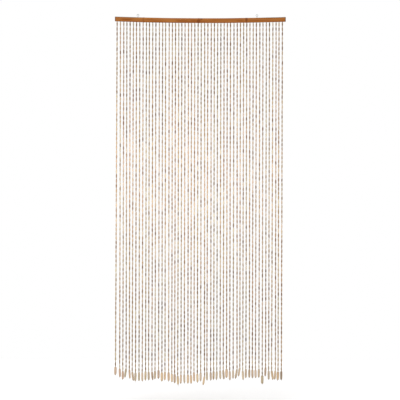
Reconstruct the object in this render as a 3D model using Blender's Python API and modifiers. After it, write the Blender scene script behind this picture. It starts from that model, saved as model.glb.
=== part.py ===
# Bead curtain on its hanging rail: a bowed wooden lath with two wire eyes screwed into
# its top edge, and a row of bead strands hanging from a groove in its lower edge.
# Metres, +Z up. X runs along the rail, the front faces -Y, and the origin lies midway
# along the rail at the height where the hooks bear inside the eyes.

import math
import random
from collections import namedtuple

import bmesh
import bpy
from mathutils import Matrix, Vector

# Rail
RAIL_LENGTH = 0.922
RAIL_HEIGHT = 0.025
RAIL_THICKNESS = 0.010
RAIL_DROP = 0.0205  # from the hang height down to the rail's top edge at mid-length
RAIL_BOW = 0.0081  # the middle hangs this much lower than the ends
RAIL_STATIONS = 36
EDGE_ROUND = 0.0012
EDGE_SEGMENTS = 2
ROUNDED_FROM = math.radians(60)  # edges sharper than this are rounded
CORNER_ROUND = 0.0025
NODE_RISE = 0.0006  # the lath swells a little at each growth node
NODE_REACH = 0.006
NODE_STEPS = (-1.2, 0.0, 1.2)  # sections across a node, in reaches

# Groove in the rail's lower edge, and the strip in it that the strands hang from
GROOVE_WIDTH = 0.0046
GROOVE_DEPTH = 0.0055
GROOVE_END = 0.006  # groove beyond the first and the last strand
CLEARANCE = 0.0003
STRIP_HEIGHT = 0.0030

# Strands
STRAND_COUNT = 52
STRAND_PITCH = 0.0175
ROW_SHIFT = -0.0027  # the row sits off the rail's middle
PITCH_SCATTER = 0.0009
SWAY_SCATTER = 0.0013
STRING_WIDTH = 0.0022
BEAD_WIDTH = 0.0062
SHOULDER = 0.004  # string to full bead width, and back above the drop
NECK_WIDTH = 0.0030
BEND_RANGE = (0.8, 1.4)  # how late down the strand its sway grows, as a power

# The long drop that ends each strand
DROP_LENGTH = 0.046
DROP_WIDTH = 0.0110
LENGTH_SCATTER = 0.0025
WIDTH_SCATTER = 0.0008
LEAN_SCATTER = 0.0016
HEM_SCATTER = 0.0025

# Screw eyes
EYE_PLACES = {"screw_eye_left": -0.337, "screw_eye_right": 0.306}
WIRE_RADIUS = 0.0010
RING_RADIUS = 0.00525  # to the middle of the wire
SHANK_DEPTH = 0.014
PILOT_DEPTH = 0.0155
PILOT_SIDES = 16
PILOT_MOUTH = 0.004  # how far the drill's path starts above the rail
RING_START = math.radians(-77)
RING_END = math.radians(250)
RING_STEPS = 22
NECK_BEND = 0.0012
NECK_STEPS = (0.25, 0.5, 0.75)
SMOOTH_UNDER = math.radians(50)

SEED = 11
WELD_DISTANCE = 1e-6

# Growth nodes of the lath, left to right
NODE_PLACES = (-0.307, -0.009, 0.249)

# How far below the hang height the hem lies, from the first strand to the last
HemKnot = namedtuple("HemKnot", "strand depth")
HEM_LINE = (
    HemKnot(0, 1.946),
    HemKnot(2, 1.972),
    HemKnot(6, 1.978),
    HemKnot(10, 1.976),
    HemKnot(13, 1.967),
    HemKnot(18, 1.989),
    HemKnot(23, 1.991),
    HemKnot(26, 1.979),
    HemKnot(31, 1.968),
    HemKnot(37, 1.963),
    HemKnot(43, 1.958),
    HemKnot(47, 1.968),
    HemKnot(51, 1.973),
)

# Strands that stand out: how much lower they end, how far the drop leans along X, how
# far the strand sways along X by its end, and the width of its drop
OddStrand = namedtuple("OddStrand", "strand lower lean sway width")
ODD_STRANDS = (
    OddStrand(0, 0.000, -0.001, -0.0045, 0.0130),
    OddStrand(3, -0.014, -0.006, 0.0000, 0.0105),
    OddStrand(4, -0.010, 0.003, 0.0000, 0.0100),
    OddStrand(5, 0.000, 0.006, -0.0020, 0.0110),
    OddStrand(11, 0.000, 0.004, 0.0000, 0.0105),
    OddStrand(14, 0.008, 0.000, 0.0005, 0.0130),
    OddStrand(19, 0.008, 0.002, -0.0015, 0.0115),
    OddStrand(24, -0.008, 0.001, -0.0005, 0.0110),
    OddStrand(27, 0.022, -0.007, 0.0035, 0.0105),
    OddStrand(33, 0.001, 0.004, -0.0010, 0.0110),
    OddStrand(34, -0.006, 0.000, 0.0000, 0.0130),
    OddStrand(35, 0.007, 0.001, 0.0000, 0.0110),
    OddStrand(37, 0.000, -0.0075, 0.0030, 0.0105),
    OddStrand(38, -0.012, -0.0070, 0.0010, 0.0105),
    OddStrand(39, 0.009, 0.002, -0.0005, 0.0110),
    OddStrand(45, 0.029, 0.000, 0.0005, 0.0135),
    OddStrand(46, -0.015, -0.002, 0.0000, 0.0105),
    OddStrand(48, 0.000, 0.0070, -0.0025, 0.0110),
    OddStrand(49, -0.003, -0.0035, 0.0005, 0.0105),
    OddStrand(50, 0.000, -0.002, -0.0010, 0.0130),
)

# Outline of a drop from its top to its tip: share of its length and of its width
DropRing = namedtuple("DropRing", "along width")
DROP_RINGS = (
    DropRing(0.00, 0.40),
    DropRing(0.12, 0.80),
    DropRing(0.38, 1.00),
    DropRing(0.72, 0.96),
    DropRing(0.92, 0.68),
    DropRing(1.00, 0.34),
)

# Shares of a strand's bead run at which it has a section between its two shoulders
RUN_SHARES = (0.33, 0.66)

Section = namedtuple("Section", "x z width")


def clear_scene():
    for scene_object in list(bpy.data.objects):
        bpy.data.objects.remove(scene_object, do_unlink=True)


def new_collection(name):
    collection = bpy.data.collections.new(name)
    bpy.context.scene.collection.children.link(collection)
    return collection


def make_material(name, color, roughness, metallic=0.0):
    material = bpy.data.materials.new(name)
    material.use_nodes = True
    shader = material.node_tree.nodes["Principled BSDF"]
    shader.inputs["Base Color"].default_value = (*color, 1.0)
    shader.inputs["Roughness"].default_value = roughness
    shader.inputs["Metallic"].default_value = metallic
    material.diffuse_color = (*color, 1.0)
    return material


def link_mesh(name, mesh, collection, material=None):
    piece = bpy.data.objects.new(name, mesh)
    collection.objects.link(piece)
    if material:
        mesh.materials.clear()
        mesh.materials.append(material)
    return piece


def mesh_from_curve(name, curve, collection, material=None):
    # A filled curve's caps are loose, so they are welded once it is a mesh
    guide = bpy.data.objects.new(name + "_curve", curve)
    collection.objects.link(guide)
    bpy.context.view_layer.update()
    evaluated = guide.evaluated_get(bpy.context.evaluated_depsgraph_get())
    mesh = bpy.data.meshes.new_from_object(evaluated)
    mesh.name = name
    bpy.data.objects.remove(guide, do_unlink=True)
    shape = bmesh.new()
    shape.from_mesh(mesh)
    bmesh.ops.remove_doubles(shape, verts=shape.verts, dist=WELD_DISTANCE)
    bmesh.ops.recalc_face_normals(shape, faces=shape.faces)
    shape.to_mesh(mesh)
    shape.free()
    return link_mesh(name, mesh, collection, material)


def rail_bow(x):
    # Height of the bowed rail over its middle
    return RAIL_BOW * (2.0 * x / RAIL_LENGTH) ** 2


def rail_top(x):
    return rail_bow(x) - RAIL_DROP


def rail_bottom(x):
    return rail_top(x) - RAIL_HEIGHT


def node_swell(x):
    return NODE_RISE * sum(math.exp(-(((x - place) / NODE_REACH) ** 2)) for place in NODE_PLACES)


def rail_stations():
    # Even steps along the rail, with closer ones across each growth node
    half = RAIL_LENGTH / 2
    even = [-half + RAIL_LENGTH * i / RAIL_STATIONS for i in range(RAIL_STATIONS + 1)]
    near = [place + step * NODE_REACH for place in NODE_PLACES for step in NODE_STEPS]
    spaced = [x for x in even if min(abs(x - n) for n in near) > NODE_REACH]
    return sorted(spaced + near)


def flat_outline(name, points, thickness):
    curve = bpy.data.curves.new(name, "CURVE")
    curve.dimensions = "2D"
    curve.fill_mode = "BOTH"
    curve.extrude = thickness / 2
    spline = curve.splines.new("POLY")
    spline.points.add(len(points) - 1)
    for point, (x, z) in zip(spline.points, points):
        point.co = (x, z, 0.0, 1.0)
    spline.use_cyclic_u = True
    return curve


def stand_up(mesh):
    # A flat outline is drawn in XY and stands in the rail's XZ plane
    mesh.transform(Matrix.Rotation(math.radians(90), 4, "X"))


def rail_outline():
    stations = rail_stations()
    inner = stations[1:-1]
    left = stations[0]
    right = stations[-1]
    r = CORNER_ROUND

    def corner(x, z, start):
        turns = [math.radians(start - turn) for turn in (0, 45, 90)]
        return [(x + r * math.cos(turn), z + r * math.sin(turn)) for turn in turns]

    top = [(x, rail_top(x) + node_swell(x)) for x in inner]
    bottom = [(x, rail_bottom(x) - node_swell(x)) for x in reversed(inner)]
    return (
        corner(left + r, rail_top(left) - r, 180)
        + top
        + corner(right - r, rail_top(right) - r, 90)
        + corner(right - r, rail_bottom(right) + r, 0)
        + bottom
        + corner(left + r, rail_bottom(left) + r, -90)
    )


def strand_places():
    # Where each strand leaves the groove, with the uneven spacing of hand drilling
    spacing = random.Random(SEED)
    first = ROW_SHIFT - STRAND_PITCH * (STRAND_COUNT - 1) / 2
    return [
        first + STRAND_PITCH * i + spacing.uniform(-PITCH_SCATTER, PITCH_SCATTER)
        for i in range(STRAND_COUNT)
    ]


def groove_span():
    places = strand_places()
    return places[0] - GROOVE_END, places[-1] + GROOVE_END


def groove_cutter(collection):
    start, end = groove_span()
    xs = [start] + [x for x in rail_stations() if start < x < end] + [end]
    roof = [(x, rail_bottom(x) + GROOVE_DEPTH) for x in xs]
    below = [(end, rail_bottom(0) - GROOVE_DEPTH), (start, rail_bottom(0) - GROOVE_DEPTH)]
    cutter = mesh_from_curve(
        "groove_cutter", flat_outline("groove", roof + below, GROOVE_WIDTH), collection
    )
    stand_up(cutter.data)
    return cutter


def pilot_cutter(name, x, collection):
    # The hole stays wider than the shank and opens above the rail's top edge
    radius = WIRE_RADIUS + CLEARANCE
    shape = bmesh.new()
    bmesh.ops.create_cone(
        shape, cap_ends=True, segments=PILOT_SIDES, radius1=radius, radius2=radius,
        depth=PILOT_DEPTH + PILOT_MOUTH,
    )
    middle = rail_top(x) + (PILOT_MOUTH - PILOT_DEPTH) / 2
    bmesh.ops.translate(shape, verts=shape.verts, vec=(x, 0.0, middle))
    mesh = bpy.data.meshes.new(name)
    shape.to_mesh(mesh)
    shape.free()
    return link_mesh(name, mesh, collection)


def cut(piece, cutter):
    cutter.hide_render = True
    cutter.display_type = "WIRE"
    difference = piece.modifiers.new(cutter.name, "BOOLEAN")
    difference.operation = "DIFFERENCE"
    difference.solver = "EXACT"
    difference.object = cutter


def make_rail(parts, cutters, material):
    rail = mesh_from_curve(
        "rail", flat_outline("rail", rail_outline(), RAIL_THICKNESS), parts, material
    )
    stand_up(rail.data)
    rounding = rail.modifiers.new("rounded_edges", "BEVEL")
    rounding.width = EDGE_ROUND
    rounding.segments = EDGE_SEGMENTS
    rounding.limit_method = "ANGLE"
    rounding.angle_limit = ROUNDED_FROM
    cut(rail, groove_cutter(cutters))
    for name, x in EYE_PLACES.items():
        cut(rail, pilot_cutter(name + "_pilot", x, cutters))
    return rail


def hem_depth(strand):
    for before, after in zip(HEM_LINE, HEM_LINE[1:]):
        if strand <= after.strand:
            share = (strand - before.strand) / (after.strand - before.strand)
            return before.depth + (after.depth - before.depth) * share
    return HEM_LINE[-1].depth


def strand_sections(strand, x, chance):
    # Sections from the strip down: the string, the run of beads, the neck and the drop
    odd = next((row for row in ODD_STRANDS if row.strand == strand), None)
    lower = chance.uniform(-HEM_SCATTER, HEM_SCATTER)
    lean = chance.uniform(-LEAN_SCATTER, LEAN_SCATTER)
    sway = chance.uniform(-SWAY_SCATTER, SWAY_SCATTER)
    width = DROP_WIDTH + chance.uniform(-WIDTH_SCATTER, WIDTH_SCATTER)
    length = DROP_LENGTH + chance.uniform(-LENGTH_SCATTER, LENGTH_SCATTER)
    bend = chance.uniform(*BEND_RANGE)
    if odd:
        lower, lean, sway, width = odd.lower, odd.lean, odd.sway, odd.width
    tip = -(hem_depth(strand) + lower)
    neck = tip + length
    mouth = rail_bottom(x)
    run_top = mouth - SHOULDER
    run_end = neck + SHOULDER

    def swayed(z):
        return x + sway * ((mouth - z) / (mouth - neck)) ** bend

    sections = [Section(x, mouth, STRING_WIDTH), Section(x, run_top, BEAD_WIDTH)]
    for share in RUN_SHARES:
        z = run_top + (run_end - run_top) * share
        sections.append(Section(swayed(z), z, BEAD_WIDTH))
    sections.append(Section(swayed(run_end), run_end, BEAD_WIDTH))
    sections.append(Section(swayed(neck), neck, NECK_WIDTH))
    for ring in DROP_RINGS[1:]:
        z = neck - length * ring.along
        sections.append(Section(swayed(neck) + lean * ring.along, z, width * ring.width))
    return sections


def make_strands(parts, material):
    # The strip is drawn out of its end face from station to station, and every strand is
    # then drawn down out of the strip's underside, so that they are one solid
    start, end = groove_span()
    start += CLEARANCE
    end -= CLEARANCE
    places = strand_places()
    roof = GROOVE_DEPTH - CLEARANCE
    half_depth = GROOVE_WIDTH / 2 - CLEARANCE
    half_string = STRING_WIDTH / 2
    stations = [start]
    for x in places:
        stations += [x - half_string, x + half_string]
    stations.append(end)

    def strip_ring(x):
        high = rail_bottom(x) + roof
        low = high - STRIP_HEIGHT
        corners = ((-half_depth, low), (half_depth, low), (half_depth, high), (-half_depth, high))
        return [Vector((x, y, z)) for y, z in corners]

    shape = bmesh.new()
    rings = [[shape.verts.new(corner) for corner in strip_ring(stations[0])]]
    face = shape.faces.new(reversed(rings[0]))
    roots = []
    for station in stations[1:]:
        drawn = bmesh.ops.extrude_discrete_faces(shape, faces=[face])["faces"][0]
        for vert, corner in zip(matched(drawn, rings[-1]), strip_ring(station)):
            vert.co = corner
        rings.append(matched(drawn, rings[-1]))
        face = drawn
    # Drawing a face out leaves its first place open
    shape.faces.new(rings[0])
    for i in range(STRAND_COUNT):
        near, far = rings[2 * i + 1], rings[2 * i + 2]
        roots.append(shape.faces.get((near[0], near[1], far[1], far[0])))
    chance = random.Random(SEED + 1)
    for strand, root in enumerate(roots):
        draw_strand(shape, root, strand_sections(strand, places[strand], chance))
    bmesh.ops.recalc_face_normals(shape, faces=shape.faces)
    mesh = bpy.data.meshes.new("bead_strands")
    shape.to_mesh(mesh)
    shape.free()
    return link_mesh("bead_strands", mesh, parts, material)


def matched(face, ring):
    # The drawn face's corners in the order of the ring that it was drawn from
    verts = list(face.verts)
    ordered = []
    for old in ring:
        linked = [edge.other_vert(old) for edge in old.link_edges]
        ordered.append(next(vert for vert in verts if vert in linked))
    return ordered


def draw_strand(shape, face, sections):
    for section in sections:
        face = bmesh.ops.extrude_discrete_faces(shape, faces=[face])["faces"][0]
        middle = face.calc_center_median()
        half = section.width / 2
        for vert in face.verts:
            side = math.copysign(half, vert.co.x - middle.x)
            front = math.copysign(half, vert.co.y - middle.y)
            vert.co = (section.x + side, front, section.z)


def eye_path(x):
    # Up the shank, round the neck's small bend and most of the way round the ring
    ring_middle = Vector((x, 0.0, WIRE_RADIUS - RING_RADIUS))
    ring_foot = ring_middle.z - RING_RADIUS
    shank_end = rail_top(x) - SHANK_DEPTH
    neck = Vector((x, 0.0, ring_foot - NECK_BEND))
    bend = Vector((x, 0.0, ring_foot))

    def on_ring(turn):
        return ring_middle + RING_RADIUS * Vector((math.cos(turn), 0.0, math.sin(turn)))

    first = on_ring(RING_START)
    points = [Vector((x, 0.0, shank_end)), neck]
    for share in NECK_STEPS:
        points.append(neck.lerp(bend, share).lerp(bend.lerp(first, share), share))
    for step in range(RING_STEPS + 1):
        points.append(on_ring(RING_START + (RING_END - RING_START) * step / RING_STEPS))
    return points


def make_eye(name, x, parts, material):
    curve = bpy.data.curves.new(name, "CURVE")
    curve.dimensions = "3D"
    curve.bevel_depth = WIRE_RADIUS
    curve.bevel_resolution = 2
    curve.use_fill_caps = True
    points = eye_path(x)
    spline = curve.splines.new("POLY")
    spline.points.add(len(points) - 1)
    for point, place in zip(spline.points, points):
        point.co = (*place, 1.0)
    eye = mesh_from_curve(name, curve, parts, material)
    eye.data.shade_smooth()
    eye.data.set_sharp_from_angle(angle=SMOOTH_UNDER)
    return eye


def main():
    clear_scene()
    parts = new_collection("bead_curtain")
    cutters = new_collection("cutters")
    lath = make_material("varnished_lath", (0.38, 0.155, 0.048), 0.45)
    beads = make_material("natural_beads", (0.50, 0.40, 0.31), 0.6)
    wire = make_material("zinc_wire", (0.50, 0.50, 0.48), 0.35, metallic=1.0)
    make_rail(parts, cutters, lath)
    make_strands(parts, beads)
    for name, x in EYE_PLACES.items():
        make_eye(name, x, parts, wire)


main()
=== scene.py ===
import math
import random

import bmesh
import bpy
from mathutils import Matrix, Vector


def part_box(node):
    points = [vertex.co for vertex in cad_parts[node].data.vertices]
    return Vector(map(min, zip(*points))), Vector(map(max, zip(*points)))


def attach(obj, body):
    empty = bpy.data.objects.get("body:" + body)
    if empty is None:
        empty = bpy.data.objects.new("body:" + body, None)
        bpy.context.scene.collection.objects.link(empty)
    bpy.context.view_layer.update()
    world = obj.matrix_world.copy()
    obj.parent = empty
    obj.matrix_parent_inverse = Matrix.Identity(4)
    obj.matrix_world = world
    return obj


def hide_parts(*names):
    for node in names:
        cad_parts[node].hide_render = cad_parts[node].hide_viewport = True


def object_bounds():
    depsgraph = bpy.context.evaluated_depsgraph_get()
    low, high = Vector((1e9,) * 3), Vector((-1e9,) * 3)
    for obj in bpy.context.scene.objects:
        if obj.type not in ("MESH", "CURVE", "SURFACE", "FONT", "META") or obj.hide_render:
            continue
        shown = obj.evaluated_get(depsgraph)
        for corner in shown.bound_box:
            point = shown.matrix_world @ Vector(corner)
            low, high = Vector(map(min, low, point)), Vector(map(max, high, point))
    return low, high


# Bead curtain: strings of turned wooden beads on a bowed, varnished lath.
# Metres. X runs along the rail, the front faces -Y, and the hooks bear at Z = 0.

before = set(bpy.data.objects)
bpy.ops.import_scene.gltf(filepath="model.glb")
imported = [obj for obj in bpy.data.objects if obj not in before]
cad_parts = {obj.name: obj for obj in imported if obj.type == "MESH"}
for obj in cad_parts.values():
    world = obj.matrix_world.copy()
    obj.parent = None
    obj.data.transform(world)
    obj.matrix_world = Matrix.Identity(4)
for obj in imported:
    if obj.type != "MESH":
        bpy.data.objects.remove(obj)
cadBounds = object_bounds()
print("frame loaded")


# Small helpers for node trees and plain meshes

def addNode(tree, kind, **settings):
    node = tree.nodes.new(kind)
    for name, value in settings.items():
        setattr(node, name, value)
    return node


def feed(tree, socket, value):
    if isinstance(value, bpy.types.NodeSocket):
        tree.links.new(value, socket)
    else:
        socket.default_value = value


def calc(tree, operation, *values):
    node = addNode(tree, "ShaderNodeMath", operation=operation)
    for socket, value in zip(node.inputs, values):
        feed(tree, socket, value)
    return node.outputs[0]


def fromMiddle(tree, value, strength):
    # Noise swings about its middle value of one half
    return calc(tree, "MULTIPLY", calc(tree, "SUBTRACT", value, 0.5), strength)


def combine(tree, x, y, z):
    node = addNode(tree, "ShaderNodeCombineXYZ")
    for socket, value in zip(node.inputs, (x, y, z)):
        feed(tree, socket, value)
    return node.outputs[0]


def newTree(name, sockets):
    # Every input is named; the output is the finished geometry
    tree = bpy.data.node_groups.new(name, "GeometryNodeTree")
    for label, kind in sockets:
        tree.interface.new_socket(name=label, in_out="INPUT", socket_type="NodeSocket" + kind)
    tree.interface.new_socket(name="Geometry", in_out="OUTPUT", socket_type="NodeSocketGeometry")
    return tree, addNode(tree, "NodeGroupInput").outputs, addNode(tree, "NodeGroupOutput")


def grow(name, guide, tree, values):
    # Runs the tree on the guide and keeps the result as a plain mesh
    modifier = guide.modifiers.new(tree.name, "NODES")
    modifier.node_group = tree
    for item in tree.interface.items_tree:
        if item.in_out == "INPUT" and item.name in values:
            modifier[item.identifier] = values[item.name]
    bpy.context.view_layer.update()
    evaluated = guide.evaluated_get(bpy.context.evaluated_depsgraph_get())
    mesh = bpy.data.meshes.new_from_object(evaluated)
    mesh.name = name
    guide.modifiers.remove(modifier)
    bpy.data.objects.remove(guide, do_unlink=True)
    return showMesh(name, mesh)


def showMesh(name, mesh, material=None):
    piece = bpy.data.objects.new(name, mesh)
    bpy.context.scene.collection.objects.link(piece)
    if material:
        mesh.materials.clear()
        mesh.materials.append(material)
    return piece


def meshFrom(name, shape):
    mesh = bpy.data.meshes.new(name)
    shape.to_mesh(mesh)
    shape.free()
    return mesh


def finishPiece(piece, slotName, *nodes):
    # Twine has no slot in the record
    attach(piece, "root")
    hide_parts(*nodes)


# Materials

def newMaterial(name):
    material = bpy.data.materials.new(name)
    material.use_nodes = True
    tree = material.node_tree
    place = addNode(tree, "ShaderNodeTexCoord").outputs["Object"]
    return material, tree, tree.nodes["Principled BSDF"], place


def stretched(tree, place, scale, offset=(0.0, 0.0, 0.0)):
    node = addNode(tree, "ShaderNodeMapping")
    feed(tree, node.inputs["Vector"], place)
    node.inputs["Scale"].default_value = scale
    feed(tree, node.inputs["Location"], offset)
    return node.outputs[0]


def noise(tree, place, scale, detail=3.0, roughness=0.55):
    node = addNode(tree, "ShaderNodeTexNoise")
    feed(tree, node.inputs["Vector"], place)
    node.inputs["Scale"].default_value = scale
    node.inputs["Detail"].default_value = detail
    node.inputs["Roughness"].default_value = roughness
    return node.outputs["Fac"]


def ramp(tree, value, *stops):
    node = addNode(tree, "ShaderNodeValToRGB")
    feed(tree, node.inputs[0], value)
    elements = node.color_ramp.elements
    while len(elements) < len(stops):
        elements.new(0.5)
    for element, (position, color) in zip(elements, stops):
        element.position = position
        element.color = (*color, 1.0)
    return node.outputs[0]


def blend(tree, factor, first, second, kind="MIX"):
    node = addNode(tree, "ShaderNodeMix", data_type="RGBA", blend_type=kind)
    feed(tree, node.inputs[0], factor)
    for socket, value in ((node.inputs[6], first), (node.inputs[7], second)):
        feed(tree, socket, (*value, 1.0) if isinstance(value, tuple) else value)
    return node.outputs[2]


def span(tree, value, low, high, lowOut=0.0, highOut=1.0):
    node = addNode(tree, "ShaderNodeMapRange", interpolation_type="SMOOTHSTEP")
    for socket, entry in zip(node.inputs, (value, low, high, lowOut, highOut)):
        feed(tree, socket, entry)
    return node.outputs[0]


def attribute(tree, name):
    return addNode(tree, "ShaderNodeAttribute", attribute_name=name).outputs["Fac"]


def bumped(tree, shader, height, distance, strength=0.6):
    node = addNode(tree, "ShaderNodeBump")
    node.inputs["Strength"].default_value = strength
    node.inputs["Distance"].default_value = distance
    feed(tree, node.inputs["Height"], height)
    feed(tree, shader.inputs["Normal"], node.outputs[0])


# Noise scales are features to a metre: across, across and along
beadLook = {
    "greyDark": (0.122, 0.078, 0.046),
    "greyMid": (0.285, 0.210, 0.128),
    "greyLight": (0.460, 0.365, 0.258),
    "warmDark": (0.162, 0.082, 0.031),
    "warmMid": (0.346, 0.219, 0.106),
    "warmLight": (0.500, 0.380, 0.232),
    "rosy": (1.05, 0.95, 0.99),
    "olive": (0.95, 1.02, 0.93),
    # Dark wood for the pores and the piece ends; at the ends it also stands for painted shade
    # where beads meet
    "darkWoodAndShade": (0.175, 0.085, 0.030),
    "endScorchAndShade": 0.60,
    "endScorchAndShadeFrom": 0.55,
    "grain": (900.0, 900.0, 55.0),
    "grainPull": 0.55,
    "patches": (60.0, 60.0, 25.0),
    "patchPull": 0.5,
    "pores": (2800.0, 2800.0, 150.0),
    "poreDepth": 0.35,
    "gloss": 0.35,
    "bump": 0.00025,
}

dropLook = dict(
    beadLook,
    greyDark=(0.160, 0.105, 0.065),
    greyMid=(0.476, 0.377, 0.282),
    greyLight=(0.62, 0.510, 0.405),
    warmDark=(0.190, 0.110, 0.055),
    warmMid=(0.572, 0.409, 0.262),
    warmLight=(0.705, 0.557, 0.395),
    rosy=(1.04, 0.965, 0.99),
    darkWoodAndShade=(0.22, 0.12, 0.05),
    endScorchAndShade=0.35,
)


def woodMaterial(name, look):
    # Bare turned wood: each bead has its own tone, warmth and tint, with fine grain along it
    material, tree, shader, place = newMaterial(name)
    tone = attribute(tree, "tone")
    warmth = attribute(tree, "warmth")
    # Each piece's own numbers move it to another stretch of the grain
    shift = combine(tree, calc(tree, "MULTIPLY", tone, 7.0), warmth, tone)
    grain = noise(tree, stretched(tree, place, look["grain"], shift), 1.0, 4.0, 0.6)
    patches = noise(tree, stretched(tree, place, look["patches"], shift), 1.0, 2.0)
    pores = noise(tree, stretched(tree, place, look["pores"], shift), 1.0, 2.0)
    value = calc(tree, "ADD", fromMiddle(tree, patches, look["patchPull"]), tone)
    value = calc(tree, "ADD", fromMiddle(tree, grain, look["grainPull"]), value)
    grey = ramp(
        tree, value, (0.0, look["greyDark"]), (0.5, look["greyMid"]), (1.0, look["greyLight"])
    )
    warm = ramp(
        tree, value, (0.0, look["warmDark"]), (0.5, look["warmMid"]), (1.0, look["warmLight"])
    )
    color = blend(tree, warmth, grey, warm)
    tint = blend(tree, attribute(tree, "tint"), look["rosy"], look["olive"])
    color = blend(tree, 1.0, color, tint, "MULTIPLY")
    dots = span(tree, pores, 0.58, 0.70, 0.0, look["poreDepth"])
    color = blend(tree, dots, color, look["darkWoodAndShade"])
    # Darker towards each piece's ends: partly scorched wood, partly painted shade where the beads
    # meet
    towardsEnd = attribute(tree, "towardsEnd")
    endScorchAndShade = span(tree, towardsEnd, look["endScorchAndShadeFrom"], 1.0, 0.0, look["endScorchAndShade"])
    color = blend(tree, endScorchAndShade, color, look["darkWoodAndShade"])
    feed(tree, shader.inputs["Base Color"], color)
    feed(tree, shader.inputs["Roughness"], span(tree, grain, 0.2, 0.8, 0.66, 0.5))
    shader.inputs["Specular IOR Level"].default_value = look["gloss"]
    bumped(tree, shader, grain, look["bump"])
    return material


lathLook = {
    "dark": (0.220, 0.055, 0.002),
    "mid": (0.304, 0.103, 0.017),
    "light": (0.374, 0.142, 0.030),
    "knot": (0.140, 0.032, 0.001),
    "endGrain": (0.075, 0.038, 0.020),
    "greyUpperEdge": (0.115, 0.090, 0.062),
    "grain": (9.0, 420.0, 420.0),
    "bands": (5.0, 60.0, 170.0),
    "pores": (45.0, 1600.0, 1600.0),
    "contrast": 0.13,
    "ragged": 1.6,
    "fine": 1.1,
    "lowEdgeShade": 0.22,
    "greyAlong": (0.62, 0.82),
    "greyUp": (0.86, 0.93),
    "soaked": (0.0042, 0.0026),
    "gloss": 0.14,
    "coat": 0.05,
    "bump": 0.0003,
}

# Darker spots on the lath: middle along X, share of its height, half width and half height
# (as a share), strength, and whether it is a growth node's knot or a stained streak
lathSpots = (
    (-0.4000, 0.45, 0.0380, 0.24, 0.85, "dark"),
    (-0.3700, 0.62, 0.0220, 0.12, 0.60, "dark"),
    (-0.3075, 0.40, 0.0060, 0.60, 0.35, "knot"),
    (-0.2300, 0.20, 0.0450, 0.16, 0.45, "dark"),
    (-0.0950, 0.42, 0.0500, 0.26, 0.60, "dark"),
    (-0.0350, 0.45, 0.0260, 0.24, 0.70, "dark"),
    (-0.0095, 0.36, 0.0110, 0.46, 0.95, "knot"),
    (-0.0040, 0.60, 0.0130, 0.60, 0.45, "dark"),
    (0.0060, 0.88, 0.0075, 0.26, 0.75, "knot"),
    (0.0900, 0.65, 0.0400, 0.20, 0.40, "dark"),
    (0.2150, 0.42, 0.0260, 0.26, 0.60, "dark"),
    (0.2487, 0.62, 0.0075, 0.62, 0.80, "knot"),
    (0.3600, 0.40, 0.0300, 0.14, 0.45, "dark"),
)


def lathMaterial():
    # Varnished lath: long grain, knots and stained streaks, painted shade on the lower arris, a
    # greyer upper edge near the ends and dark end grain
    material, tree, shader, place = newMaterial("varnished_lath")
    parts = addNode(tree, "ShaderNodeSeparateXYZ")
    feed(tree, parts.inputs[0], place)
    x, y = parts.outputs[0], parts.outputs[1]
    rise = attribute(tree, "rise")
    unbent = combine(tree, x, y, calc(tree, "MULTIPLY", rise, railForm["height"]))
    grain = noise(tree, stretched(tree, unbent, lathLook["grain"]), 1.0, 5.0, 0.62)
    bands = noise(tree, stretched(tree, unbent, lathLook["bands"]), 1.0, 3.0)
    pores = noise(tree, stretched(tree, unbent, lathLook["pores"]), 1.0, 2.0)
    mixed = calc(tree, "MULTIPLY_ADD", grain, 0.5, calc(tree, "MULTIPLY", bands, 0.5))
    low, high = 0.5 - lathLook["contrast"], 0.5 + lathLook["contrast"]
    color = ramp(
        tree, mixed, (low, lathLook["dark"]), (0.5, lathLook["mid"]), (high, lathLook["light"])
    )
    color = blend(tree, span(tree, pores, 0.56, 0.72, 0.0, 0.35), color, lathLook["dark"])
    # Streaks have borders as ragged as the grain, and marks have finer ones
    ragged = fromMiddle(tree, grain, lathLook["ragged"])
    fine = fromMiddle(tree, pores, lathLook["fine"])
    for at, share, reach, height, strength, kind in lathSpots:
        off = calc(tree, "DIVIDE", calc(tree, "SUBTRACT", x, at), reach)
        up = calc(tree, "DIVIDE", calc(tree, "SUBTRACT", rise, share), height)
        far = calc(tree, "ADD", calc(tree, "MULTIPLY", off, off), calc(tree, "MULTIPLY", up, up))
        sharp, border = (0.40, fine) if kind == "knot" else (0.15, ragged)
        near = span(tree, calc(tree, "ADD", far, border), 1.0, sharp, 0.0, strength)
        color = blend(tree, near, color, lathLook[kind])
    # The lower arris is darkened with painted shade, and the upper one is greyer near the ends
    lowEdgeShade = span(tree, rise, lathLook["lowEdgeShade"], 0.0, 0.0, 0.6)
    color = blend(tree, lowEdgeShade, color, lathLook["dark"])
    half = railForm["length"] / 2
    out = calc(tree, "ABSOLUTE", x)
    outer = span(tree, out, *[half * share for share in lathLook["greyAlong"]])
    raggedRise = calc(tree, "MULTIPLY_ADD", ragged, 0.16, rise)
    upper = span(tree, raggedRise, *lathLook["greyUp"], 0.0, 0.9)
    color = blend(tree, calc(tree, "MULTIPLY", outer, upper), color, lathLook["greyUpperEdge"])
    soaked = calc(tree, "MULTIPLY_ADD", fine, 0.0025, out)
    ends = span(tree, soaked, *[half - inset for inset in lathLook["soaked"]], 0.0, 0.85)
    color = blend(tree, ends, color, lathLook["endGrain"])
    feed(tree, shader.inputs["Base Color"], color)
    feed(tree, shader.inputs["Roughness"], span(tree, grain, 0.3, 0.7, 0.55, 0.40))
    shader.inputs["Specular IOR Level"].default_value = lathLook["gloss"]
    shader.inputs["Coat Weight"].default_value = lathLook["coat"]
    shader.inputs["Coat Roughness"].default_value = 0.3
    relief = calc(tree, "MULTIPLY_ADD", pores, -0.4, grain)
    bumped(tree, shader, relief, lathLook["bump"], 0.5)
    return material


stringLook = {
    "thread": (0.27, 0.23, 0.175),
    "shade": (0.12, 0.10, 0.075),
    "twist": 0.0016,
    "fuzz": 3000.0,
    "bump": 0.0002,
}


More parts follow.
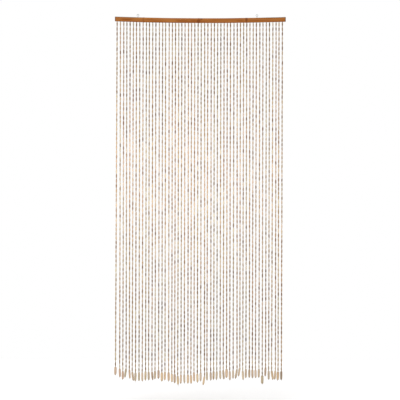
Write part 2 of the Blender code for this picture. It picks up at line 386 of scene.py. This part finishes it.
def stringMaterial():
    # Twisted cotton twine: slanting plies with painted shade in the grooves between them, a
    # little fuzz in the roughness
    material, tree, shader, place = newMaterial("cotton_twine")
    parts = addNode(tree, "ShaderNodeSeparateXYZ")
    feed(tree, parts.inputs[0], place)
    x, y, z = parts.outputs[:3]
    lean = calc(tree, "ADD", x, calc(tree, "ADD", y, z))
    turns = calc(tree, "MULTIPLY", lean, 2 * math.pi / stringLook["twist"])
    plies = calc(tree, "MULTIPLY_ADD", calc(tree, "SINE", turns), 0.5, 0.5)
    fuzz = noise(tree, place, stringLook["fuzz"], 2.0)
    color = blend(tree, plies, stringLook["shade"], stringLook["thread"])
    feed(tree, shader.inputs["Base Color"], color)
    feed(tree, shader.inputs["Roughness"], span(tree, fuzz, 0.2, 0.8, 0.75, 0.95))
    bumped(tree, shader, plies, stringLook["bump"])
    return material


wireLook = {
    "bright": (0.40, 0.41, 0.38),
    "dull": (0.22, 0.23, 0.21),
    "tarnish": (0.12, 0.10, 0.08),
    "clouds": 260.0,
    "specks": 1400.0,
    "bump": 0.00006,
}


def wireMaterial():
    # Zinc-plated wire, dulled in patches
    material, tree, shader, place = newMaterial("zinc_wire")
    clouds = noise(tree, place, wireLook["clouds"], 4.0, 0.6)
    specks = noise(tree, place, wireLook["specks"], 2.0)
    color = ramp(tree, clouds, (0.35, wireLook["dull"]), (0.65, wireLook["bright"]))
    color = blend(tree, span(tree, specks, 0.62, 0.74, 0.0, 0.7), color, wireLook["tarnish"])
    feed(tree, shader.inputs["Base Color"], color)
    shader.inputs["Metallic"].default_value = 1.0
    feed(tree, shader.inputs["Roughness"], span(tree, clouds, 0.3, 0.7, 0.5, 0.3))
    bumped(tree, shader, specks, wireLook["bump"], 0.4)
    return material


# The rail

railForm = {
    "length": 0.922,
    "height": 0.0250,
    "thickness": 0.0100,
    "bow": 0.0081,
    "edge": 0.0016,
    "crown": 0.00035,
    "nodes": (-0.307, -0.009, 0.249),
    "nodeRise": 0.0006,
    "nodeReach": 0.006,
    "grooveWidth": 0.0046,
    "grooveDepth": 0.0055,
    "grooveEnd": 0.006,
    "groovelessDepth": 0.0002,
    "endRound": 0.0014,
    "endInset": 0.0012,
    "waver": 0.00022,
    "stations": 150,
    "cornerSteps": 4,
}


# The CAD rail's box ends at its two high ends, and the middle hangs lower by the bow
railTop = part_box("rail")[1].z


def railUnderside(x):
    sag = railForm["bow"] * (1.0 - (2.0 * x / railForm["length"]) ** 2)
    return railTop - sag - railForm["height"]


def railSection(grooveDepth):
    # Outline across the rail in Y and Z, from the groove round to the groove again
    half = railForm["thickness"] / 2
    high = railForm["height"]
    r = railForm["edge"]
    slot = railForm["grooveWidth"] / 2
    steps = railForm["cornerSteps"]
    points = [(slot, 0.0)]
    corners = (
        (half - r, r, -90), (half - r, high - r, 0), (r - half, high - r, 90), (r - half, r, 180)
    )
    for y, z, start in corners:
        for step in range(steps + 1):
            turn = math.radians(start + 90 * step / steps)
            points.append((y + r * math.cos(turn), z + r * math.sin(turn)))
        if start == 90:
            # The front is sanded to a faint crown
            for share in (0.75, 0.5, 0.25):
                rise = railForm["crown"] * 4 * share * (1 - share)
                points.append((-half - rise, r + (high - 2 * r) * share))
    points += [(-slot, 0.0), (-slot, grooveDepth), (slot, grooveDepth)]
    return points


def makeRail(material, places):
    half = railForm["length"] / 2
    count = railForm["stations"]
    xs = [-half + railForm["length"] * i / count for i in range(1, count)]
    endRound, step = railForm["endRound"], railForm["groovelessDepth"]
    ends = [half, half - 0.0005, half - endRound]
    grooveEnds = (places[0] - railForm["grooveEnd"], places[-1] + railForm["grooveEnd"])
    xs = [x for x in xs if abs(x) < half - 0.004]
    xs += ends + [-x for x in ends]
    xs += [grooveEnds[0] - step, grooveEnds[0], grooveEnds[1], grooveEnds[1] + step]
    xs.sort()
    shape = bmesh.new()
    riseOf = shape.verts.layers.float.new("rise")
    rings = []
    for x in xs:
        inGroove = grooveEnds[0] <= x <= grooveEnds[1]
        depth = railForm["grooveDepth"] if inGroove else step
        swell = sum(
            math.exp(-(((x - node) / railForm["nodeReach"]) ** 2)) for node in railForm["nodes"]
        )
        grown = railForm["nodeRise"] * swell
        inset = railForm["endInset"] * max(0.0, (abs(x) - (half - endRound)) / endRound) ** 2
        upper = railForm["waver"] * math.sin(x * 31.0 + 0.6) * math.sin(x * 11.0)
        lower = railForm["waver"] * math.sin(x * 24.0 + 2.1) * math.sin(x * 7.0 + 1.0)
        under = railUnderside(x)
        ring = []
        for y, z in railSection(depth):
            share = z / railForm["height"]
            side = (share - 0.5) * 2
            z += side * grown + share * upper + (1 - share) * lower - side * inset
            y += math.copysign(0.6 * grown if y < 0 else 0.0, y) - math.copysign(inset, y)
            vert = shape.verts.new((x, y, under + z))
            vert[riseOf] = share
            ring.append(vert)
        rings.append(ring)
    size = len(rings[0])
    for near, far in zip(rings, rings[1:]):
        for i in range(size):
            j = (i + 1) % size
            shape.faces.new((near[i], far[i], far[j], near[j]))
    shape.faces.new(reversed(rings[0]))
    shape.faces.new(rings[-1])
    bmesh.ops.recalc_face_normals(shape, faces=shape.faces)
    rail = showMesh("lath", meshFrom("lath", shape), material)
    rail.data.shade_smooth()
    rail.data.set_sharp_from_angle(angle=math.radians(35))
    finishPiece(rail, "rail_wood", "rail")
    return rail


# The screw eyes

eyeForm = {
    "wire": 0.0010,
    "ring": 0.00525,
    "neckBend": 0.0012,
    "ringFrom": -77.0,
    "ringTo": 250.0,
    "ringSteps": 56,
    "threadWire": 0.00028,
    "threadPitch": 0.0011,
    "threadTop": 0.0035,
    "threadSteps": 14,
}


def wireCurve(name, radius, points, sides):
    curve = bpy.data.curves.new(name, "CURVE")
    curve.dimensions = "3D"
    curve.bevel_depth = radius
    curve.bevel_resolution = sides
    curve.use_fill_caps = True
    spline = curve.splines.new("POLY")
    spline.points.add(len(points) - 1)
    for point, place in zip(spline.points, points):
        point.co = (*place, 1.0)
    guide = bpy.data.objects.new(name, curve)
    bpy.context.scene.collection.objects.link(guide)
    bpy.context.view_layer.update()
    mesh = bpy.data.meshes.new_from_object(
        guide.evaluated_get(bpy.context.evaluated_depsgraph_get())
    )
    bpy.data.objects.remove(guide, do_unlink=True)
    return mesh


def makeEye(name, node, material):
    low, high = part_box(node)
    x = (low[0] + high[0]) / 2
    middle = Vector((x, 0.0, high[2] - eyeForm["ring"] - eyeForm["wire"]))
    woodTop = railUnderside(x) + railForm["height"]
    foot = middle.z - eyeForm["ring"]
    neck = Vector((x, 0.0, foot - eyeForm["neckBend"]))
    bend = Vector((x, 0.0, foot))

    def onRing(turn):
        return middle + eyeForm["ring"] * Vector((math.cos(turn), 0.0, math.sin(turn)))

    start, stop = math.radians(eyeForm["ringFrom"]), math.radians(eyeForm["ringTo"])
    points = [Vector((x, 0.0, low[2])), Vector((x, 0.0, woodTop)), neck]
    for step in range(1, 6):
        share = step / 6
        points.append(neck.lerp(bend, share).lerp(bend.lerp(onRing(start), share), share))
    count = eyeForm["ringSteps"]
    points += [onRing(start + (stop - start) * i / count) for i in range(count + 1)]
    shape = bmesh.new()
    shape.from_mesh(wireCurve(name, eyeForm["wire"], points, 5))
    coils = []
    rise = eyeForm["threadTop"]
    turnSteps = eyeForm["threadSteps"]
    turns = rise / eyeForm["threadPitch"]
    for step in range(int(turns * turnSteps) + 1):
        turn = 2 * math.pi * step / turnSteps
        out = eyeForm["wire"] * min(1.0, 1.0 - 0.35 * (step / turnSteps / turns) ** 6)
        z = woodTop + eyeForm["threadPitch"] * step / turnSteps - 0.0004
        coils.append(Vector((x + out * math.cos(turn), out * math.sin(turn), z)))
    shape.from_mesh(wireCurve(name + "_thread", eyeForm["threadWire"], coils, 1))
    bmesh.ops.remove_doubles(shape, verts=shape.verts, dist=1e-6)
    bmesh.ops.recalc_face_normals(shape, faces=shape.faces)
    eye = showMesh(name, meshFrom(name, shape), material)
    eye.data.shade_smooth()
    eye.data.set_sharp_from_angle(angle=math.radians(50))
    finishPiece(eye, "eye_wire", node)
    return eye


# The strands

strandForm = {
    "weld": 1e-5,
    "ringGap": 0.0005,
    "dropRings": 5,
    "pitch": 0.0254,
    "lengthScatter": 0.12,
    "widthScatter": 0.06,
    "startGap": 0.0006,
    "sideScatter": 0.00025,
    "perPiece": 4,
    "seed": 5,
}


def strandRoutes():
    # A CAD strand is a chain of four-cornered rings, so its route runs through their middles
    shape = bmesh.new()
    shape.from_mesh(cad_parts["bead_strands"].data)
    bmesh.ops.remove_doubles(shape, verts=shape.verts, dist=strandForm["weld"])
    strip = [v for v in shape.verts if v.co.z > railUnderside(v.co.x) + 0.001]
    bmesh.ops.delete(shape, geom=strip, context="VERTS")
    routes = []
    unseen = set(shape.verts)
    while unseen:
        island, edge = [], [unseen.pop()]
        while edge:
            vert = edge.pop()
            island.append(vert.co.copy())
            for link in vert.link_edges:
                other = link.other_vert(vert)
                if other in unseen:
                    unseen.remove(other)
                    edge.append(other)
        island.sort(key=lambda place: -place.z)
        rings = [[island[0]]]
        for place in island[1:]:
            if rings[-1][-1].z - place.z > strandForm["ringGap"]:
                rings.append([])
            rings[-1].append(place)
        routes.append([ringOf(ring) for ring in rings])
    shape.free()
    return sorted(routes, key=lambda route: route[0][0].x)


def ringOf(places):
    middle = sum(places, Vector()) / len(places)
    width = max(place.x for place in places) - min(place.x for place in places)
    return middle, width


def alongRoute(rings, z):
    # The point of a route at a height
    for (upper, _), (lower, _) in zip(rings, rings[1:]):
        if z >= lower.z:
            return upper.lerp(lower, (upper.z - z) / (upper.z - lower.z))
    return rings[-1][0].copy()


def turnedTree():
    # Turned wooden pieces along their own axis, one on each point
    tree, given, done = newTree("turnedPieces", (
        ("Points", "Geometry"), ("Length", "Float"), ("Width", "Float"), ("End Width", "Float"),
        ("Fullness", "Float"), ("Roundness", "Float"), ("Taper", "Float"), ("Sides", "Int"),
        ("Bands", "Int"), ("Tilt", "Float"), ("Seed", "Int"), ("Material", "Material"),
    ))
    blank = addNode(tree, "GeometryNodeMeshCylinder", fill_type="NGON")
    feed(tree, blank.inputs["Vertices"], given["Sides"])
    feed(tree, blank.inputs["Side Segments"], given["Bands"])
    blank.inputs["Radius"].default_value = 0.5
    blank.inputs["Depth"].default_value = 1.0
    parts = addNode(tree, "ShaderNodeSeparateXYZ")
    feed(tree, parts.inputs[0], addNode(tree, "GeometryNodeInputPosition").outputs[0])
    x, y, z = parts.outputs[:3]
    eased = calc(tree, "MULTIPLY", calc(tree, "SINE", calc(tree, "MULTIPLY", z, math.pi)), 0.5)
    far = calc(tree, "ABSOLUTE", calc(tree, "MULTIPLY", eased, 2.0))
    fall = calc(tree, "SUBTRACT", 1.0, calc(tree, "POWER", far, given["Fullness"]))
    body = calc(tree, "POWER", calc(tree, "MAXIMUM", fall, 0.0), given["Roundness"])
    spare = calc(tree, "SUBTRACT", 1.0, given["End Width"])
    share = calc(tree, "MULTIPLY_ADD", spare, body, given["End Width"])
    share = calc(tree, "MULTIPLY", share, calc(tree, "MULTIPLY_ADD", eased, given["Taper"], 1.0))
    wide = calc(tree, "MULTIPLY", share, given["Width"])
    ended = addNode(tree, "GeometryNodeStoreNamedAttribute", data_type="FLOAT", domain="POINT")
    feed(tree, ended.inputs["Geometry"], blank.outputs["Mesh"])
    ended.inputs["Name"].default_value = "towardsEnd"
    feed(tree, ended.inputs["Value"], far)
    turned = addNode(tree, "GeometryNodeSetPosition")
    feed(tree, turned.inputs["Geometry"], ended.outputs[0])
    feed(tree, turned.inputs["Position"], combine(
        tree, calc(tree, "MULTIPLY", x, wide), calc(tree, "MULTIPLY", y, wide),
        calc(tree, "MULTIPLY", eased, given["Length"]),
    ))
    smooth = addNode(tree, "GeometryNodeSetShadeSmooth", domain="FACE")
    feed(tree, smooth.inputs["Geometry"], turned.outputs[0])
    feed(tree, smooth.inputs["Shade Smooth"], blank.outputs["Side"])
    along = addNode(tree, "GeometryNodeInputNamedAttribute", data_type="FLOAT_VECTOR")
    along.inputs["Name"].default_value = "along"
    size = addNode(tree, "GeometryNodeInputNamedAttribute", data_type="FLOAT_VECTOR")
    size.inputs["Name"].default_value = "size"
    aim = addNode(tree, "FunctionNodeAlignRotationToVector", axis="Z")
    feed(tree, aim.inputs["Vector"], along.outputs[0])
    loose = addNode(tree, "FunctionNodeRandomValue", data_type="FLOAT_VECTOR")
    back = calc(tree, "MULTIPLY", given["Tilt"], -1.0)
    feed(tree, loose.inputs[0], combine(tree, back, back, 0.0))
    feed(tree, loose.inputs[1], combine(tree, given["Tilt"], given["Tilt"], 2 * math.pi))
    feed(tree, loose.inputs["Seed"], given["Seed"])
    turn = addNode(tree, "FunctionNodeEulerToRotation")
    feed(tree, turn.inputs[0], loose.outputs[0])
    spin = addNode(tree, "FunctionNodeRotateRotation", rotation_space="LOCAL")
    feed(tree, spin.inputs[0], aim.outputs[0])
    feed(tree, spin.inputs[1], turn.outputs[0])
    strung = addNode(tree, "GeometryNodeInstanceOnPoints")
    feed(tree, strung.inputs["Points"], given["Points"])
    feed(tree, strung.inputs["Instance"], smooth.outputs[0])
    feed(tree, strung.inputs["Rotation"], spin.outputs[0])
    feed(tree, strung.inputs["Scale"], size.outputs[0])
    real = addNode(tree, "GeometryNodeRealizeInstances")
    feed(tree, real.inputs[0], strung.outputs[0])
    painted = addNode(tree, "GeometryNodeSetMaterial")
    feed(tree, painted.inputs["Geometry"], real.outputs[0])
    feed(tree, painted.inputs["Material"], given["Material"])
    feed(tree, done.inputs[0], painted.outputs[0])
    return tree


def twineTree():
    # A tube of twine along every line of the guide
    tree, given, done = newTree("twine", (
        ("Lines", "Geometry"), ("Radius", "Float"), ("Sides", "Int"), ("Material", "Material"),
    ))
    path = addNode(tree, "GeometryNodeMeshToCurve")
    feed(tree, path.inputs[0], given["Lines"])
    circle = addNode(tree, "GeometryNodeCurvePrimitiveCircle")
    feed(tree, circle.inputs["Resolution"], given["Sides"])
    feed(tree, circle.inputs["Radius"], given["Radius"])
    tube = addNode(tree, "GeometryNodeCurveToMesh")
    feed(tree, tube.inputs["Curve"], path.outputs[0])
    feed(tree, tube.inputs["Profile Curve"], circle.outputs[0])
    tube.inputs["Fill Caps"].default_value = True
    smooth = addNode(tree, "GeometryNodeSetShadeSmooth", domain="FACE")
    feed(tree, smooth.inputs["Geometry"], tube.outputs[0])
    real = addNode(tree, "GeometryNodeRealizeInstances")
    feed(tree, real.inputs[0], smooth.outputs[0])
    painted = addNode(tree, "GeometryNodeSetMaterial")
    feed(tree, painted.inputs["Geometry"], real.outputs[0])
    feed(tree, painted.inputs["Material"], given["Material"])
    feed(tree, done.inputs[0], painted.outputs[0])
    return tree


def pointGuide(name, rows):
    # One vertex for each turned piece, with its axis, size, tone, warmth and tint
    mesh = bpy.data.meshes.new(name)
    mesh.from_pydata([row["at"] for row in rows], [], [])
    for key, kind, field in (
        ("along", "FLOAT_VECTOR", "vector"), ("size", "FLOAT_VECTOR", "vector"),
        ("tone", "FLOAT", "value"), ("warmth", "FLOAT", "value"), ("tint", "FLOAT", "value"),
    ):
        data = mesh.attributes.new(key, kind, "POINT").data
        for item, row in zip(data, rows):
            setattr(item, field, row[key])
    return showMesh(name, mesh)


def lineGuide(name, lines):
    verts, edges = [], []
    for line in lines:
        edges += [(len(verts) + i, len(verts) + i + 1) for i in range(len(line) - 1)]
        verts += line
    mesh = bpy.data.meshes.new(name)
    mesh.from_pydata(verts, edges, [])
    return showMesh(name, mesh)


beadForm = {
    "Length": 0.0254,
    "Width": 0.0075,
    "End Width": 0.42,
    "Fullness": 1.9,
    "Roundness": 1.1,
    "Taper": 0.0,
    "Sides": 7,
    "Bands": 7,
    "Tilt": math.radians(1.6),
    "Seed": 21,
}

toneForm = {
    "middle": 0.5,
    "strand": {"tone": 0.03, "warmth": 0.36, "tint": 0.16},
    "drift": {"tone": 0.06, "warmth": 0.28, "tint": 0.20},
    "bead": {"tone": 0.29, "warmth": 0.16, "tint": 0.10},
    "memory": 0.87,
    "warmInDark": 0.90,
}


def clamp(value):
    return min(1.0, max(0.0, value))


def strandTones(count, chance):
    scatter = toneForm["strand"]
    middle = toneForm["middle"]
    return [
        {key: middle + chance.gauss(0.0, scatter[key]) for key in scatter} for _ in range(count)
    ]


def driftOf(count, chance):
    # Slow change of the wood from bead to bead down a strand
    keep = toneForm["memory"]
    fresh = math.sqrt(1.0 - keep * keep)
    state = {key: chance.gauss(0.0, scatter) for key, scatter in toneForm["drift"].items()}
    drifts = []
    for _ in range(count):
        drifts.append(dict(state))
        for key, scatter in toneForm["drift"].items():
            state[key] = keep * state[key] + fresh * chance.gauss(0.0, scatter)
    return drifts


def woodOf(strandTone, drift, chance):
    # A bead's own wood, scattered round its strand's; darker wood is warmer
    wood = {}
    for key, scatter in toneForm["bead"].items():
        wood[key] = strandTone[key] + drift.get(key, 0.0) + chance.gauss(0.0, scatter)
    wood["warmth"] += toneForm["warmInDark"] * (toneForm["middle"] - wood["tone"])
    return {key: clamp(value) for key, value in wood.items()}


def beadRows(rings, strandTone, chance):
    # Beads of slightly uneven length fill the run from the rail down to the drop
    top = rings[0][0].z - strandForm["startGap"]
    neck = rings[-1 - strandForm["dropRings"]][0].z
    count = round((top - neck) / strandForm["pitch"])
    scatter = strandForm["lengthScatter"]
    lengths = [chance.uniform(1.0 - scatter, 1.0 + scatter) for _ in range(count)]
    scale = (top - neck) / sum(lengths)
    rows = []
    z = top
    for share, drift in zip(lengths, driftOf(count, chance)):
        length = share * scale
        upper, lower = alongRoute(rings, z), alongRoute(rings, z - length)
        slips = [chance.uniform(-1.0, 1.0) * strandForm["sideScatter"] for _ in range(2)]
        girth = chance.uniform(1.0 - strandForm["widthScatter"], 1.0 + strandForm["widthScatter"])
        rows.append({
            "at": (upper + lower) / 2 + Vector((*slips, 0.0)),
            "along": upper - lower,
            "size": (girth, girth, length / beadForm["Length"]),
            **woodOf(strandTone, drift, chance),
        })
        z -= length
    return rows


def makeBeads(routes, tones, tree, material):
    perPiece = strandForm["perPiece"]
    chance = random.Random(strandForm["seed"])
    total = 0
    for first in range(0, len(routes), perPiece):
        rows = []
        for strand in range(first, min(first + perPiece, len(routes))):
            rows += beadRows(routes[strand], tones[strand], chance)
        name = f"beads_{first // perPiece + 1:02d}"
        values = dict(beadForm, Seed=beadForm["Seed"] + first, Material=material)
        piece = grow(name, pointGuide(name + "_points", rows), tree, values)
        finishPiece(piece, "bead_wood", "bead_strands")
        total += len(rows)
    print("beads strung:", total)


# How far the drops' tones scatter, and their girth as a share of the CAD's
dropFit = {"tone": 0.09, "girth": 1.05}

dropForm = {
    "Length": 0.046,
    "Width": 0.0110,
    "End Width": 0.42,
    "Fullness": 4.0,
    "Roundness": 0.5,
    "Taper": 0.06,
    "Sides": 18,
    "Bands": 16,
    "Tilt": 0.0,
    "Seed": 3,
}


# Drops whose wood stands out: tone, warmth and tint, each from 0 to 1
oddDrops = {
    0: (0.45, 0.40, 0.20),
    1: (0.42, 0.55, 0.00),
    2: (0.38, 0.55, 0.00),
    3: (0.40, 0.35, 1.00),
    4: (0.40, 0.60, 0.20),
    6: (0.45, 0.30, 0.70),
    10: (0.38, 0.35, 0.60),
    11: (0.28, 0.45, 0.30),
    13: (0.35, 0.40, 0.10),
    14: (0.55, 1.00, 0.60),
    15: (0.58, 1.00, 0.60),
    21: (0.50, 0.10, 0.60),
    22: (0.60, 0.95, 0.50),
    28: (0.45, 0.20, 0.80),
    33: (0.40, 0.40, 0.60),
    37: (0.42, 0.25, 0.60),
    40: (0.45, 0.20, 0.50),
    45: (0.36, 0.30, 0.95),
    46: (0.32, 0.40, 0.20),
    48: (0.42, 0.95, 0.60),
    49: (0.48, 0.85, 0.60),
    51: (0.10, 0.30, 0.50),
}


def makeDrops(routes, tones, tree, material):
    chance = random.Random(strandForm["seed"] + 1)
    rows = []
    for strand, rings in enumerate(routes):
        below = rings[-1 - strandForm["dropRings"]:]
        top, tip = below[0][0], below[-1][0]
        width = dropFit["girth"] * max(ring[1] for ring in below) / dropForm["Width"]
        wood = woodOf(tones[strand], {}, chance)
        wood["tone"] = clamp(toneForm["middle"] + chance.gauss(0.0, dropFit["tone"]))
        if strand in oddDrops:
            wood = dict(zip(("tone", "warmth", "tint"), oddDrops[strand]))
        rows.append({
            "at": (top + tip) / 2,
            "along": top - tip,
            "size": (width, width, (top - tip).length / dropForm["Length"]),
            **wood,
        })
    values = dict(dropForm, Material=material)
    piece = grow("drops", pointGuide("drop_points", rows), tree, values)
    finishPiece(piece, "bead_wood", "bead_strands")
    print("drops hung:", len(rows))


twineForm = {
    "radius": 0.00065,
    "sides": 6,
    "tail": (0.002, 0.005),
    "longTails": {6: 0.010, 19: 0.009},
    "tailBend": 0.4,
    "tailSteps": (0.4, 0.75, 1.0),
    "knotDrop": 0.4,
    "upperKnotRise": 0.0012,
    "upperKnotSize": 0.8,
    "intoGroove": 0.0028,
}

bindingForm = {"radius": 0.0013, "sides": 8, "steps": 90, "past": 0.005}

knotForm = {
    "Length": 0.0034,
    "Width": 0.0030,
    "End Width": 0.45,
    "Fullness": 2.0,
    "Roundness": 0.5,
    "Taper": 0.0,
    "Sides": 8,
    "Bands": 5,
    "Tilt": math.radians(12),
    "Seed": 8,
}


def knotRow(place, along, size):
    return {
        "at": place, "along": along, "size": (size, size, size),
        "tone": 0.5, "warmth": 0.5, "tint": 0.5,
    }


def bindingLine(first, last):
    # The line of twine in the groove, from just before the first strand to just past the last
    start, stop = first - bindingForm["past"], last + bindingForm["past"]
    rise = twineForm["intoGroove"] + bindingForm["radius"] * 0.6
    line = []
    for i in range(bindingForm["steps"] + 1):
        x = start + (stop - start) * i / bindingForm["steps"]
        line.append(Vector((x, 0.0, railUnderside(x) + rise)))
    return line


def makeTwine(routes, tree, turned, material):
    chance = random.Random(strandForm["seed"] + 2)
    tailBend = twineForm["tailBend"]
    up = Vector((0.0, 0.0, 1.0))
    lines, knots = [], []
    for strand, rings in enumerate(routes):
        mouth, tip = rings[0][0], rings[-1][0]
        lean = (tip - rings[-2][0]).normalized()
        length = twineForm["longTails"].get(strand, chance.uniform(*twineForm["tail"]))
        knot = tip + lean * knotForm["Length"] * twineForm["knotDrop"]
        bends = [chance.uniform(-tailBend, tailBend) for _ in range(2)]
        hang = Vector((*bends, -1.0)).normalized()
        line = [mouth + up * twineForm["intoGroove"]]
        line += [ring[0] for ring in rings]
        line += [knot + hang * length * share for share in twineForm["tailSteps"]]
        lines.append(line)
        above = mouth + up * twineForm["upperKnotRise"]
        knots.append(knotRow(knot, lean, 1.0))
        knots.append(knotRow(above, up, twineForm["upperKnotSize"]))
    values = {"Radius": twineForm["radius"], "Sides": twineForm["sides"], "Material": material}
    strings = grow("strings", lineGuide("string_lines", lines), tree, values)
    finishPiece(strings, None, "bead_strands")
    values = dict(knotForm, Material=material)
    tied = grow("knots", pointGuide("knot_points", knots), turned, values)
    finishPiece(tied, None, "bead_strands")
    line = bindingLine(routes[0][0][0].x, routes[-1][0][0].x)
    values = {
        "Radius": bindingForm["radius"], "Sides": bindingForm["sides"], "Material": material,
    }
    binding = grow("binding", lineGuide("binding_line", [line]), tree, values)
    finishPiece(binding, None, "bead_strands")
    print("strings knotted")


# Light, floor and camera

stageForm = {
    "floorGap": 0.10,
    "floorTone": 0.94,
    "floorSize": 3.2,
    "worldStrength": 1.0,
    "sunStrength": 0.8,
    "sunSpread": 50.0,
    "sunFrom": (-0.5, -1.0, 0.9),
    "panelPower": 4.6,
    "panelSize": (1.6, 0.6),
    "panelSpread": 104.0,
    "panelAt": (-0.30, -0.80, -0.91),
    "lens": 100.0,
    "sensor": 36.0,
    "frameHeight": 2.160,
    "middleX": 0.0005,
    "middleZ": -1.0013,
    "roll": 0.139,
}


def addLamp(name, kind, energy):
    lamp = bpy.data.lights.new(name, kind)
    lamp.energy = energy
    light = bpy.data.objects.new(name, lamp)
    bpy.context.scene.collection.objects.link(light)
    return lamp, light


def makeStage():
    scene = bpy.context.scene
    scene.view_settings.view_transform = "Standard"
    world = bpy.data.worlds.new("studio")
    world.use_nodes = True
    sky = world.node_tree.nodes["Background"]
    sky.inputs["Color"].default_value = (1.0, 1.0, 1.0, 1.0)
    sky.inputs["Strength"].default_value = stageForm["worldStrength"]
    scene.world = world
    floorMaterial = bpy.data.materials.new("pale_floor")
    floorMaterial.use_nodes = True
    shader = floorMaterial.node_tree.nodes["Principled BSDF"]
    shader.inputs["Base Color"].default_value = (*[stageForm["floorTone"]] * 3, 1.0)
    shader.inputs["Roughness"].default_value = 0.9
    low = cadBounds[0]
    half = stageForm["floorSize"] / 2
    z = low[2] - stageForm["floorGap"]
    mesh = bpy.data.meshes.new("floor")
    mesh.from_pydata(
        [(-half, -half, z), (half, -half, z), (half, half, z), (-half, half, z)],
        [], [(0, 1, 2, 3)],
    )
    showMesh("floor", mesh, floorMaterial)
    lamp, light = addLamp("soft_sun", "SUN", stageForm["sunStrength"])
    lamp.angle = math.radians(stageForm["sunSpread"])
    light.rotation_euler = Vector(stageForm["sunFrom"]).to_track_quat("Z", "Y").to_euler()
    # A wide soft panel lights the middle of the strands a little more than their ends
    lamp, light = addLamp("soft_panel", "AREA", stageForm["panelPower"])
    lamp.shape = "RECTANGLE"
    lamp.size, lamp.size_y = stageForm["panelSize"]
    lamp.spread = math.radians(stageForm["panelSpread"])
    light.location = stageForm["panelAt"]
    light.rotation_euler = (math.radians(90), 0.0, 0.0)
    light.visible_camera = False
    lens = bpy.data.cameras.new("camera")
    lens.lens = stageForm["lens"]
    lens.sensor_width = stageForm["sensor"]
    camera = bpy.data.objects.new("camera", lens)
    scene.collection.objects.link(camera)
    distance = stageForm["frameHeight"] * stageForm["lens"] / stageForm["sensor"]
    camera.location = (stageForm["middleX"], -distance, stageForm["middleZ"])
    camera.rotation_euler = (math.radians(90), 0.0, 0.0)
    camera.rotation_euler.rotate_axis("Z", math.radians(stageForm["roll"]))
    scene.camera = camera
    print("stage set")


makeStage()
routes = strandRoutes()
print("strands read:", len(routes))
places = [rings[0][0].x for rings in routes]
makeRail(lathMaterial(), places)
wire = wireMaterial()
makeEye("eye_left", "screw_eye_left", wire)
makeEye("eye_right", "screw_eye_right", wire)
print("rail and eyes made")
tones = strandTones(len(routes), random.Random(strandForm["seed"] + 3))
turned = turnedTree()
makeBeads(routes, tones, turned, woodMaterial("bead_wood", beadLook))
makeDrops(routes, tones, turned, woodMaterial("drop_wood", dropLook))
makeTwine(routes, twineTree(), turned, stringMaterial())
